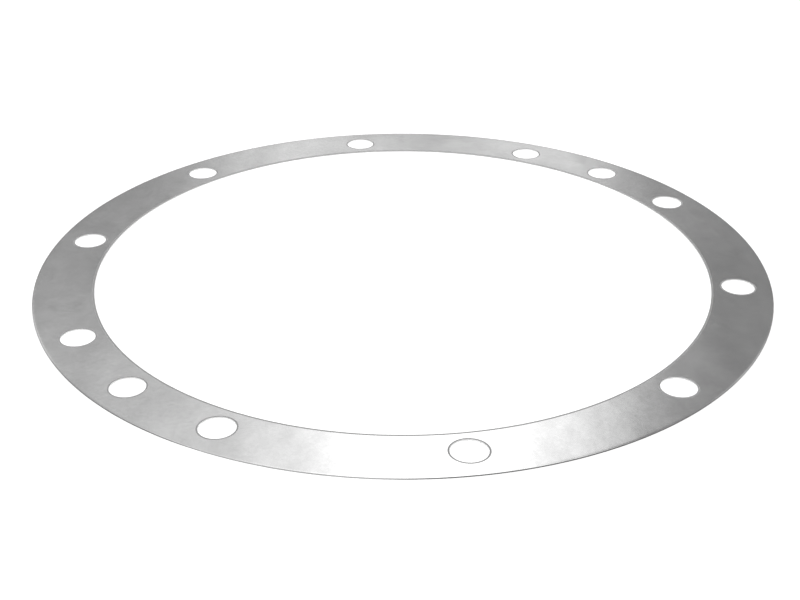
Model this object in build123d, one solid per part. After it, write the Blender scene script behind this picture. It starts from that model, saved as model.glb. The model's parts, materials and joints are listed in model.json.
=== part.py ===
from build123d import *
import os

# A flat ring shim for a bolted flange joint, punched in one piece from thin steel sheet.
# Millimetres. The origin is the ring's centre on its lower face, +Z is up through the sheet,
# and +X runs through a bolt hole.

# Driving dimensions
pitch_circle_diameter = 273.4
hole_diameter = 13.0
inner_land = 4.2
outer_land = 6.8
sheet_thickness = 0.5
edge_break = 0.08

# Driving counts: the evenly spaced bolt holes, and how many of their gaps lie between +X and
# the gap that takes the first of the two extra holes.
bolt_hole_count = 10
gaps_before_extra_hole = 2

# The lands are the strips of sheet between the holes and the ring's two outlines, so the bore
# and the outside follow the pitch circle and the holes.
pitch_radius = pitch_circle_diameter / 2
hole_radius = hole_diameter / 2
bore_radius = pitch_radius - hole_radius - inner_land
outer_radius = pitch_radius + hole_radius + outer_land

# The two extra holes have the bolt holes' size and pitch circle. Each lies midway between two
# bolt holes, and the second is half the bolt holes further round than the first.
bolt_spacing = 360 / bolt_hole_count
extra_hole_gaps = (gaps_before_extra_hole, gaps_before_extra_hole + bolt_hole_count // 2)


def hole_places():
    """Centres of all the holes on the pitch circle, the bolt holes first."""
    bolt_angles = [number * bolt_spacing for number in range(bolt_hole_count)]
    extra_angles = [(gap + 0.5) * bolt_spacing for gap in extra_hole_gaps]
    return [Vector(pitch_radius, 0).rotate(Axis.Z, angle) for angle in bolt_angles + extra_angles]


def punched_outline():
    """The flat outline that the punch leaves: a ring with its holes."""
    with BuildSketch() as outline:
        Circle(outer_radius)
        Circle(bore_radius, mode=Mode.SUBTRACT)
        with Locations(*hole_places()):
            Circle(hole_radius, mode=Mode.SUBTRACT)
    return outline.sketch


def shim_ring():
    """The shim: the outline at sheet thickness, with a small break on every cut edge."""
    with BuildPart() as ring:
        add(punched_outline())
        extrude(amount=sheet_thickness)
        chamfer(ring.edges().filter_by(GeomType.CIRCLE), edge_break)
    return ring.part


os.makedirs("parts", exist_ok=True)
export_step(shim_ring(), "parts/shim_ring.step")
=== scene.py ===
"""A ring shim of bright rolled sheet steel, lying face up on a pale studio floor."""
import bmesh
import bpy
import json
import math
import numpy as np
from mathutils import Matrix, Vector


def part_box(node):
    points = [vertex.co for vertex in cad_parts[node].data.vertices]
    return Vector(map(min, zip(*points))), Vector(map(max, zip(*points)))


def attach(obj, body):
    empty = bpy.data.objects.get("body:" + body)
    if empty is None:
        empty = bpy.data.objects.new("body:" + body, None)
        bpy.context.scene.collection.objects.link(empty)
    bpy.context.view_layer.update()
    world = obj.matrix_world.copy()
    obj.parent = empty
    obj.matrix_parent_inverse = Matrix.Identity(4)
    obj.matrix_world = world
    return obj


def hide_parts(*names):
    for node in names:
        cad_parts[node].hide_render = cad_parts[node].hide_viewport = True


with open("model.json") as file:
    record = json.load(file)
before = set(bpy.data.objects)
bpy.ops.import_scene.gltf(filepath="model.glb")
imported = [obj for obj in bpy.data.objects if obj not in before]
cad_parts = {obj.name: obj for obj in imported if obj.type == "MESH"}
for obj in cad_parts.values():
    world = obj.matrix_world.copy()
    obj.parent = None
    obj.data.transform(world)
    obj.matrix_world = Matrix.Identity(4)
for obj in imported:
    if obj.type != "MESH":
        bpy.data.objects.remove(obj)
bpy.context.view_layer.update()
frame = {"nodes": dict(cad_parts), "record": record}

NODE = "shim_ring"
MM = 0.001

# How finely the ring is divided: steps round the ring, across its width, out from a hole, round
# the section of a cut edge, and across the rolled strip.
STEPS_PER_DEGREE = 2
STEPS_ACROSS = 16
STEPS_FROM_HOLE = 6
STEPS_PER_EDGE_ROUND = 4
STEPS_ACROSS_ROLL = 6

# The rounding of each cut edge, and the strip of upper face beside it: dull where the punch has
# pressed round the bore and the holes, and darker there as painted shade along these edges, and
# rolled down along the outside.
RIM_RADIUS = 0.08 * MM
BORE_STRIP = 0.8 * MM
HOLE_STRIP = 0.7 * MM
ROLL_WIDTH = 0.75 * MM
ROLL_DEPTH = 0.07 * MM

# Points of two surfaces that lie nearer than this are one point.
WELD_DISTANCE = 0.0001 * MM

# The finishes that cutting leaves: dulled on the face beside an edge, cut on a wall, and torn
# where that wall is dark. The dulled face is rougher, and darker as painted shade along the
# edge; the torn wall's dark tone is partly a torn surface and partly painted shade and dark
# reflections. Each has a share from 0 to 1 at every point. It starts to show at
# FINISH_START and shows in full at the share given here.
FINISH_START = 0.05
FINISH_FULL = {"dulled": 0.35, "cut": 1.0, "torn": 1.0}

# The share of torn in each wall, which darkens the wall partly as painted shade and dark
# reflections. The outer wall has the outer share all round but for one arc, where a smaller share
# leaves it lighter as a painted reflection. The arc is given by its middle, half its width and the
# softness of its ends, in degrees round Z.
HOLE_TORN_SHADED = 0.0
BORE_TORN_SHADED = 0.36
OUTER_TORN_SHADED = 1.0
PAINTED_LIT_ARC_TORN = 0.5
PAINTED_LIT_ARC_MIDDLE = 300.0
PAINTED_LIT_ARC_HALF = 17.0
PAINTED_LIT_ARC_SOFT = 5.0

# The camera of the photograph: its place in metres, its heading in degrees round Z from +Y, its
# tilt below the horizon in degrees, its lens and sensor in millimetres, and the nearest and the
# furthest that it sees in metres.
CAMERA_PLACE = (0.3330, -0.3346, 0.2385)
CAMERA_HEADING = 45.0
CAMERA_TILT = 28.436
CAMERA_LENS = 56.94
SENSOR_WIDTH = 36.0
CAMERA_NEAREST = 0.01
CAMERA_FURTHEST = 50

# The sheet was rolled in the direction that the camera looks in, in degrees round Z from +X. Its
# clouds and smudges are drawn out by ROLLING_STRETCH in that direction.
ROLLING_DIRECTION = CAMERA_HEADING + 90
ROLLING_STRETCH = 2

# Where the steel's clouds and waves are taken from their noise, in metres. The soft light and dark
# patches then lie much as in the photograph.
CLOUD_SHIFT = (-0.15, 0.65, -0.75)
WAVE_SHIFT = (0.1, -0.31, -0.03)

# The steel's tones, where 0 is black and 1 is white, and how far each pattern moves the face's.
# The dulled tone is darker as painted shade beside the bore and holes, and the torn tone is dark
# partly as painted shade and dark reflections on the walls.
FACE_TONE = 0.62
DULLED_SHADE_TONE = 0.52
CUT_TONE = 0.90
TORN_SHADE_TONE = 0.27
CLOUD_STRENGTH = 0.32
GRAIN_STRENGTH = 0.13
SMUDGE_STRENGTH = 0.03
FLECK_STRENGTH = 0.05

# The steel's roughness, from the face's smoothest places to its roughest, and where it is dulled
# or cut. Then the height of the waves in the face.
FACE_ROUGHNESS = (0.17, 0.19)
CUT_ROUGHNESS = 0.95
WAVE_HEIGHT = 0.28 * MM

# The floor: half the length of its sides in metres, its tone, and the strength of its glow.
FLOOR_REACH = 10
FLOOR_TONE = 0.9
FLOOR_GLOW = 0.35
WHITE = (1, 1, 1, 1)

# The studio's lights: each one's span of elevation, its span of azimuth and its strength, where 1
# is white. Azimuth counts to the right of the camera's heading. A span is its two ends and the
# softness of both, in degrees. One that ends past 90 degrees of elevation reaches the zenith.
WALL_LIGHTS = {
    "upper left": ((29, 96, 6), (-21, -8, 4), 0.46),
    "left glow": ((30, 94, 4), (-13, -3, 3), 0.19),
    "right glow": ((22, 33, 2), (8.5, 15, 1.5), 0.08),
    "left window": ((26, 33, 1.5), (-36, -21.2, 3), 0.75),
    "right window": ((31.5, 37, 1.5), (24, 38, 3), 0.8),
}
TWIN_LIGHTS = ((19.5, 24.5, 2), (-9.1, 10.1, 3.06), 0.92)
TALL_LIGHT = ((27.5, 54, 4), (-4.3, 8.9, 6.9), 2.1)

# The twin lights are one light with a gap in it: the gap's span of azimuth, and the share of the
# light that it takes away.
TWIN_GAP = (-1.6, 3.6, 2.5)
GAP_DEPTH = 0.53

# The tall light widens upwards. Between these elevations the share of the azimuth that counts
# falls from all of it to TALL_TOP_SHARE.
TALL_WIDENING = (36, 50)
TALL_TOP_SHARE = 0.62

# The light on each flank, over the same span of azimuth to either side.
FLANK_SPAN = (85, 140, 12)
FLANK_STRENGTH = 0.8

# The walls' strength on the left and on the right, and where they change over, from -1 at the far
# left to 1 at the far right.
WALL_STRENGTHS = (0.35, 0.30)
WALL_CHANGE = (-0.2, 0.2)

# The ceiling's strength, the elevations between which it sets in, and how many degrees it slants
# up to the right.
CEILING_STRENGTH = 1.2
CEILING_START = (42, 52)
CEILING_SLANT = 14

# The horizon is white up to the first of these elevations, and gone by the second.
HORIZON_END = (10.5, 13)


def shim_sizes():
    """Sizes of the ring in metres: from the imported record's mounts, and from the node's points.

    A bolt pattern of the record is a rectangle about the ring's axis, or a line where one of its
    spacings is left out, with a hole at each corner or end. The holes are sorted by angle.
    """
    mounts = frame["record"]["mounts"]
    patterns = [mount["dims"] for mount in mounts if mount["kind"] == "bolt_pattern"]
    bore, = [mount["dims"] for mount in mounts if mount["name"] == "pilot_bore"]
    holes = set()
    for dims in patterns:
        half_x = dims.get("spacing_x_mm", 0) * MM / 2
        half_y = dims.get("spacing_y_mm", 0) * MM / 2
        holes |= {(sx * half_x, sy * half_y) for sx in (-1, 1) for sy in (-1, 1)}
    low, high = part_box(NODE)
    vertices = frame["nodes"][NODE].data.vertices
    points = np.empty(len(vertices) * 3, np.float32)
    vertices.foreach_get("co", points)
    x, y, _ = points.astype(float).reshape(-1, 3).T
    return {
        "holes": sorted(holes, key=lambda place: math.atan2(place[1], place[0])),
        "hole_radius": patterns[0]["hole_r_mm"] * MM,
        "bore_radius": bore["r_mm"] * MM,
        "outer_radius": float(np.hypot(x, y).max()),
        "bottom": low.z,
        "top": high.z,
    }


def polar(angle, radius):
    """Points at these angles in radians and radii, as an array of x and y."""
    return np.stack([radius * np.cos(angle), radius * np.sin(angle)], axis=-1)


def grid_quads(rows, columns):
    """Corner numbers of the quads of a grid of points, whose last column joins its first."""
    number = np.arange(rows * columns).reshape(rows, columns)
    number = np.concatenate([number, number[:, :1]], axis=1)
    corners = (number[:-1, :-1], number[:-1, 1:], number[1:, 1:], number[1:, :-1])
    return np.stack(corners, axis=-1).reshape(-1, 4)


def arc_angles(start, end):
    """Evenly spaced angles from start up to, and without, end."""
    steps = round(math.degrees(abs(end - start)) * STEPS_PER_DEGREE)
    return np.linspace(start, end, steps, endpoint=False)


def sector_frame(start, end, inner, outer):
    """Angle and radius of points round a sector of the ring, counter-clockwise.

    The outer arc runs from start to end, a side goes in to the bore, the bore's arc runs back
    to start and the other side goes out again. Each stretch is evenly divided.
    """
    arc, back = arc_angles(start, end), arc_angles(end, start)
    arc_steps = len(arc)
    inward = np.linspace(outer, inner, STEPS_ACROSS, endpoint=False)
    outward = np.linspace(inner, outer, STEPS_ACROSS, endpoint=False)
    angle = np.concatenate([arc, np.full(STEPS_ACROSS, end), back, np.full(STEPS_ACROSS, start)])
    radius = np.concatenate(
        [np.full(arc_steps, outer), inward, np.full(arc_steps, inner), outward]
    )
    return angle, radius, arc_steps


def hole_circle(centre_angle, pitch_radius, radius, count, arc_steps):
    """Points round a hole, one for each point of its sector's frame.

    The middle of the sector's outer arc faces straight outwards from the hole.
    """
    turn = 2 * math.pi * (np.arange(count) - arc_steps / 2) / count
    facing = centre_angle + turn
    return polar(centre_angle, pitch_radius) + polar(facing, radius)


def sector_face(hole_xy, start, end, inner, outer, hole_radius):
    """A flat patch from a circle round a hole out to the frame of its sector, and the circle.

    Angle and radius are blended in step from the circle to the frame, so every row stays inside
    the ring. The circle's angles are taken within half a turn of the hole's own.
    """
    centre_angle = math.atan2(hole_xy[1], hole_xy[0])
    angle, radius, arc_steps = sector_frame(start, end, inner, outer)
    circle = hole_circle(centre_angle, math.hypot(*hole_xy), hole_radius, len(angle), arc_steps)
    circle_radius = np.hypot(circle[:, 0], circle[:, 1])
    swing = np.arctan2(circle[:, 1], circle[:, 0]) - centre_angle
    circle_angle = centre_angle + (swing + math.pi) % (2 * math.pi) - math.pi
    share = np.linspace(0, 1, STEPS_FROM_HOLE + 1)[:, None]
    rows = polar(
        (1 - share) * circle_angle + share * angle,
        (1 - share) * circle_radius + share * radius,
    )
    return rows, circle


class Sheet:
    """Collects the ring's surfaces, each a grid of points and quads, into one welded mesh."""

    def __init__(self):
        self.points = []
        self.quads = []
        self.finishes = {finish: [] for finish in FINISH_FULL}
        self.count = 0

    def add(self, points, flip=False, **finishes):
        """Adds a closed grid of points, turned over if flip, with the share of each finish in it.

        A share is a number from 0 to 1, or an array of them that broadcasts over the points.
        """
        rows, columns = points.shape[:2]
        quads = grid_quads(rows, columns)
        self.quads.append((quads[:, ::-1] if flip else quads) + self.count)
        self.points.append(points.reshape(-1, 3))
        for finish, shares in self.finishes.items():
            share = finishes.get(finish, 0.0)
            shares.append(np.broadcast_to(share, (rows, columns)).reshape(-1))
        self.count += rows * columns

    def mesh(self, name):
        """The mesh, with the points that its surfaces share welded into one."""
        made = bpy.data.meshes.new(name)
        quads = np.concatenate(self.quads)
        made.from_pydata(np.concatenate(self.points).tolist(), [], quads.tolist())
        for finish, shares in self.finishes.items():
            layer = made.attributes.new(finish, "FLOAT", "POINT")
            layer.data.foreach_set("value", np.concatenate(shares).astype(np.float32))
        made.polygons.foreach_set("use_smooth", np.ones(len(quads), bool))
        seams = bmesh.new()
        seams.from_mesh(made)
        bmesh.ops.remove_doubles(seams, verts=seams.verts, dist=WELD_DISTANCE)
        seams.to_mesh(made)
        seams.free()
        return made


def with_height(xy, z):
    """The same plane points as x, y, z at height z."""
    return np.concatenate([xy, np.full((*xy.shape[:-1], 1), z)], axis=-1)


def both_faces(sheet, rows, sizes):
    """Adds a flat patch on the top face and the same, turned over, on the bottom face."""
    sheet.add(with_height(rows, sizes["top"]), flip=True)
    sheet.add(with_height(rows, sizes["bottom"]))


def rim_rows(loop, outward, top, bottom):
    """A cut edge's wall as rows of points from top to bottom, and the share of wall in each row.

    loop is the line where the face ends and outward points off the metal. The section is a
    quarter circle from the face to the wall, the straight wall, and the same turned over.
    """
    turn = np.linspace(0, math.pi / 2, STEPS_PER_EDGE_ROUND + 1)
    out = RIM_RADIUS * np.sin(turn)
    drop = RIM_RADIUS * (1 - np.cos(turn))
    out = np.concatenate([out, out[::-1]])
    rows = with_height(loop[None] + out[:, None, None] * outward[None], 0.0)
    rows[..., 2] = np.concatenate([top - drop, bottom + drop[::-1]])[:, None]
    return rows, (out > 0).astype(float)[:, None]


def pierced_edge(sheet, loop, outward, strip_width, torn, sizes):
    """Adds a pierced opening's wall, with this share of torn, and the strips of face beside it.

    The share of torn darkens the wall, partly as a torn surface and partly as painted shade and
    dark reflections. loop runs with the metal on its right. The upper strip turns dull towards
    the edge, and darker there as painted shade.
    """
    rim, wall = rim_rows(loop, outward, sizes["top"], sizes["bottom"])
    # The dulled share on the rim's top is painted shade; the torn share darkens the wall, partly as
    # painted shade.
    sheet.add(rim, dulled=1.0 - wall, cut=wall, torn=torn * wall)
    strip = np.stack([loop - strip_width * outward, loop])
    # The dulled share darkens the strip towards the edge: painted shade.
    sheet.add(with_height(strip, sizes["top"]), dulled=np.array([[0.0], [1.0]]))
    sheet.add(with_height(strip, sizes["bottom"]), flip=True)


def outer_edge(sheet, loop, outward, sizes):
    """Adds the outside's wall, and the strips of face beside it.

    loop runs with the metal on its right. The upper strip falls by ROLL_DEPTH times the square
    of the share of its width. The wall's share of torn is the outer share all round, and a
    smaller share in one arc. The torn finish's dark tone is partly a torn surface and partly painted
    shade and dark reflections, and the arc's smaller share is a painted lighter reflection.
    """
    share = np.linspace(0, 1, STEPS_ACROSS_ROLL + 1)[:, None, None]
    rolled = with_height(loop[None] - (1 - share) * ROLL_WIDTH * outward[None], 0.0)
    rolled[..., 2] = sizes["top"] - ROLL_DEPTH * share[..., 0] ** 2
    sheet.add(rolled)
    flat = np.stack([loop - ROLL_WIDTH * outward, loop])
    sheet.add(with_height(flat, sizes["bottom"]), flip=True)
    rim, wall = rim_rows(loop, outward, sizes["top"] - ROLL_DEPTH, sizes["bottom"])
    # Painted light: the wall is less dark in one arc round Z, as a lighter reflection.
    facing = np.degrees(np.arctan2(outward[:, 1], outward[:, 0]))
    off = np.abs((facing - PAINTED_LIT_ARC_MIDDLE + 180) % 360 - 180)
    in_painted_lit_arc = np.clip((PAINTED_LIT_ARC_HALF + PAINTED_LIT_ARC_SOFT - off) / (2 * PAINTED_LIT_ARC_SOFT), 0, 1)
    torn = OUTER_TORN_SHADED + (PAINTED_LIT_ARC_TORN - OUTER_TORN_SHADED) * in_painted_lit_arc
    sheet.add(rim, cut=wall, torn=wall * torn[None])


def build_shim(sizes):
    """The shim as one closed surface: a sector round each hole, and every cut edge.

    A sector ends midway to the next hole. The outside and the bore have their points at the
    angles of the sectors' arcs, so that the surfaces weld.
    """
    sheet = Sheet()
    hole_rim = sizes["hole_radius"] + RIM_RADIUS
    bore_rim, outer_rim = sizes["bore_radius"] + RIM_RADIUS, sizes["outer_radius"] - RIM_RADIUS
    inner, outer = bore_rim + BORE_STRIP, outer_rim - ROLL_WIDTH
    places = sizes["holes"]
    angles = np.array([math.atan2(y, x) for x, y in places])
    after = np.append(angles[1:], angles[0] + 2 * math.pi)
    ends = (angles + after) / 2
    starts = np.append(ends[-1] - 2 * math.pi, ends[:-1])
    for place, start, end in zip(places, starts, ends):
        rows, circle = sector_face(place, start, end, inner, outer, hole_rim + HOLE_STRIP)
        both_faces(sheet, rows, sizes)
        inward = (np.array(place) - circle) / (hole_rim + HOLE_STRIP)
        pierced_edge(sheet, circle + HOLE_STRIP * inward, inward, HOLE_STRIP, HOLE_TORN_SHADED, sizes)
    radial = polar(np.concatenate([arc_angles(*sector) for sector in zip(starts, ends)]), 1.0)
    outer_edge(sheet, radial[::-1] * outer_rim, radial[::-1], sizes)
    pierced_edge(sheet, radial * bore_rim, -radial, BORE_STRIP, BORE_TORN_SHADED, sizes)
    shim = bpy.data.objects.new("ring_shim", sheet.mesh("ring_shim"))
    bpy.context.scene.collection.objects.link(shim)
    return shim


def make_camera():
    """The photograph's camera. Unturned, a camera looks straight down."""
    data = bpy.data.cameras.new("camera")
    data.lens = CAMERA_LENS
    data.sensor_width = SENSOR_WIDTH
    data.clip_start = CAMERA_NEAREST
    data.clip_end = CAMERA_FURTHEST
    camera = bpy.data.objects.new("camera", data)
    camera.location = CAMERA_PLACE
    camera.rotation_euler = (math.radians(90 - CAMERA_TILT), 0, math.radians(CAMERA_HEADING))
    bpy.context.scene.collection.objects.link(camera)
    bpy.context.scene.camera = camera


class Value:
    """A socket that gives a value in a node tree. Arithmetic on it adds Math nodes."""

    def __init__(self, tree, socket=None):
        self.tree = tree
        self.socket = socket

    def node(self, kind, settings=None, inputs=None, output=0):
        """A new node of this type in the tree: its settings first, then its sockets."""
        made = self.tree.nodes.new(kind)
        for name, value in (settings or {}).items():
            setattr(made, name, value)
        for key, value in (inputs or {}).items():
            self.feed(made.inputs[key], value)
        return Value(self.tree, made.outputs[output])

    def feed(self, socket, value):
        """Links a value to a socket, or sets the socket to a plain number or colour."""
        if isinstance(value, Value):
            self.tree.links.new(value.socket, socket)
        else:
            socket.default_value = value

    def math(self, operation, *others):
        """This Math operation on the value and any others."""
        return self.node("ShaderNodeMath", {"operation": operation}, dict(enumerate([self, *others])))

    def __add__(self, other):
        return self.math("ADD", other)

    def __sub__(self, other):
        return self.math("SUBTRACT", other)

    def __mul__(self, other):
        return self.math("MULTIPLY", other)

    def __rsub__(self, other):
        return self.node("ShaderNodeMath", {"operation": "SUBTRACT"}, {0: other, 1: self})

    __radd__ = __add__
    __rmul__ = __mul__

    def rise(self, start, end, low=0.0, high=1.0):
        """A smooth step from low, where the value is start, to high, where it is end."""
        ramp = {"Value": self, "From Min": start, "From Max": end, "To Min": low, "To Max": high}
        return self.node("ShaderNodeMapRange", {"interpolation_type": "SMOOTHSTEP"}, ramp)

    def between(self, start, end, soft):
        """A smooth band: 1 from start to end and 0 outside, with half of each soft edge inside."""
        return self.rise(start - soft, start + soft) * (1 - self.rise(end - soft, end + soft))

    def blend(self, low, high):
        """The mix of two values, low where this value is 0 and high where it is 1."""
        return low * (1 - self) + high * self

    def along(self, direction):
        """How far this vector reaches in a direction."""
        return self.node("ShaderNodeVectorMath", {"operation": "DOT_PRODUCT"},
                         {0: self, 1: direction}, "Value")

    def noise(self, scale, detail, roughness=0.5):
        """Noise from 0 to 1 over this vector, with scale cells to a metre."""
        return self.node("ShaderNodeTexNoise", {}, {
            "Vector": self, "Scale": scale, "Detail": detail, "Roughness": roughness})


def soft_light(elevation, azimuth, light):
    """How bright a light is: its strength times the smooth bands of its two spans."""
    height, breadth, strength = light
    return elevation.between(*height) * azimuth.between(*breadth) * strength


def studio_world():
    """A plain studio: white low round the horizon, grey walls, and a light ceiling.

    Its brightness is a function of azimuth and elevation. The walls carry the wall lights. Behind
    the shim the tall light reaches high up, over the twin lights, which are low.
    """
    world = bpy.data.worlds.new("studio")
    bpy.context.scene.world = world
    world.use_nodes = True
    start = Value(world.node_tree)
    look = start.node("ShaderNodeTexCoord", output="Generated")
    heading = math.radians(CAMERA_HEADING)
    side = look.along((math.cos(heading), math.sin(heading), 0))
    ahead = look.along((-math.sin(heading), math.cos(heading), 0))
    azimuth = side.math("ARCTAN2", ahead) * math.degrees(1)
    elevation = look.along((0, 0, 1)).math("ARCSINE") * math.degrees(1)
    walls = side.rise(*WALL_CHANGE, *WALL_STRENGTHS)
    for light in WALL_LIGHTS.values():
        walls = walls + soft_light(elevation, azimuth, light)
    flanks = azimuth.math("ABSOLUTE").between(*FLANK_SPAN) * FLANK_STRENGTH
    gap = azimuth.between(*TWIN_GAP) * GAP_DEPTH
    twin = soft_light(elevation, azimuth, TWIN_LIGHTS) * (1 - gap)
    counted = azimuth * elevation.rise(*TALL_WIDENING, 1.0, TALL_TOP_SHARE)
    tall = soft_light(elevation, counted, TALL_LIGHT)
    ceiling = (elevation - side * CEILING_SLANT).rise(*CEILING_START)
    sky = ceiling.blend(walls + flanks + twin, CEILING_STRENGTH) + tall
    brightness = elevation.rise(*HORIZON_END).blend(1.0, sky)
    background = world.node_tree.nodes["Background"]
    background.inputs["Color"].default_value = WHITE
    start.feed(background.inputs["Strength"], brightness)


def bright_steel():
    """Bright rolled sheet steel, with finishes for where it has been cut.

    The face has clouds and smudges drawn out in the rolling direction, fine grain, a few pale
    flecks and slight waves. Smudges and flecks are the peaks of their noise. The steel is rough
    where it is dulled or cut. It is darker where dulled, as painted shade beside the bore and the
    holes, and dark where it is torn, partly as a torn surface and partly as painted shade and dark
    reflections.
    """
    steel = bpy.data.materials.new("bright_steel")
    steel.use_nodes = True
    shader = steel.node_tree.nodes["Principled BSDF"]
    start = Value(steel.node_tree)
    place = start.node("ShaderNodeTexCoord", output="Object")
    rolled = start.node("ShaderNodeMapping", {"vector_type": "TEXTURE"}, {
        "Vector": place, "Location": CLOUD_SHIFT,
        "Rotation": (0, 0, math.radians(ROLLING_DIRECTION)), "Scale": (ROLLING_STRETCH, 1, 1)})
    shifted = start.node("ShaderNodeMapping", {}, {"Vector": place, "Location": WAVE_SHIFT})
    dulled, cut, torn = [
        start.node("ShaderNodeAttribute", {"attribute_name": finish}, output="Fac")
        .rise(FINISH_START, full) for finish, full in FINISH_FULL.items()]
    clouds = rolled.noise(scale=42, detail=2) - 0.5
    grain = place.noise(scale=600, detail=3, roughness=0.7) - 0.5
    smudges = rolled.noise(scale=90, detail=1).rise(0.66, 0.76)
    flecks = place.noise(scale=300, detail=1).rise(0.74, 0.82)
    face = FACE_TONE + clouds * CLOUD_STRENGTH + grain * GRAIN_STRENGTH
    face = face - smudges * SMUDGE_STRENGTH + flecks * FLECK_STRENGTH
    # Painted shade: the torn walls' dark tone and the dulled strips' darker tone.
    wall = torn.blend(CUT_TONE, TORN_SHADE_TONE)
    tone = cut.blend(dulled.blend(face, DULLED_SHADE_TONE), wall)
    start.feed(shader.inputs["Base Color"], tone)
    polish = place.noise(scale=110, detail=4, roughness=0.6).rise(0.35, 0.65, *FACE_ROUGHNESS)
    unpolished = dulled.math("MAXIMUM", cut)
    start.feed(shader.inputs["Roughness"], unpolished.blend(polish, CUT_ROUGHNESS))
    shader.inputs["Metallic"].default_value = 1.0
    waves = shifted.noise(scale=36, detail=5, roughness=0.4)
    bump = start.node("ShaderNodeBump", {}, {
        "Strength": 1.0, "Distance": WAVE_HEIGHT, "Height": waves})
    start.feed(shader.inputs["Normal"], bump)
    return steel


def white_floor():
    """A plain white floor with the shim's shadow on it.

    Its glow is there only for what sees it directly, in a mirror or through glass. So the picture
    has it white, and the glow lights nothing.
    """
    mesh = bpy.data.meshes.new("floor")
    square = ((-1, -1), (1, -1), (1, 1), (-1, 1))
    corners = [(x * FLOOR_REACH, y * FLOOR_REACH, 0) for x, y in square]
    mesh.from_pydata(corners, [], [(0, 1, 2, 3)])
    floor = bpy.data.objects.new("floor", mesh)
    bpy.context.scene.collection.objects.link(floor)
    white = bpy.data.materials.new("white_floor")
    white.use_nodes = True
    shader = white.node_tree.nodes["Principled BSDF"]
    start = Value(white.node_tree)
    rays = [start.node("ShaderNodeLightPath", output=name)
            for name in ("Is Camera Ray", "Is Glossy Ray", "Is Transmission Ray")]
    seen = rays[0].math("MAXIMUM", rays[1]).math("MAXIMUM", rays[2])
    shader.inputs["Base Color"].default_value = (FLOOR_TONE, FLOOR_TONE, FLOOR_TONE, 1)
    shader.inputs["Roughness"].default_value = 1.0
    shader.inputs["Specular IOR Level"].default_value = 0.0
    shader.inputs["Emission Color"].default_value = WHITE
    start.feed(shader.inputs["Emission Strength"], seen * FLOOR_GLOW)
    mesh.materials.append(white)


sizes = shim_sizes()
shim = build_shim(sizes)
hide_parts(NODE)
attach(shim, "root")
shim.data.materials.append(bright_steel())
white_floor()
make_camera()
studio_world()
bpy.context.scene.view_settings.view_transform = "Standard"
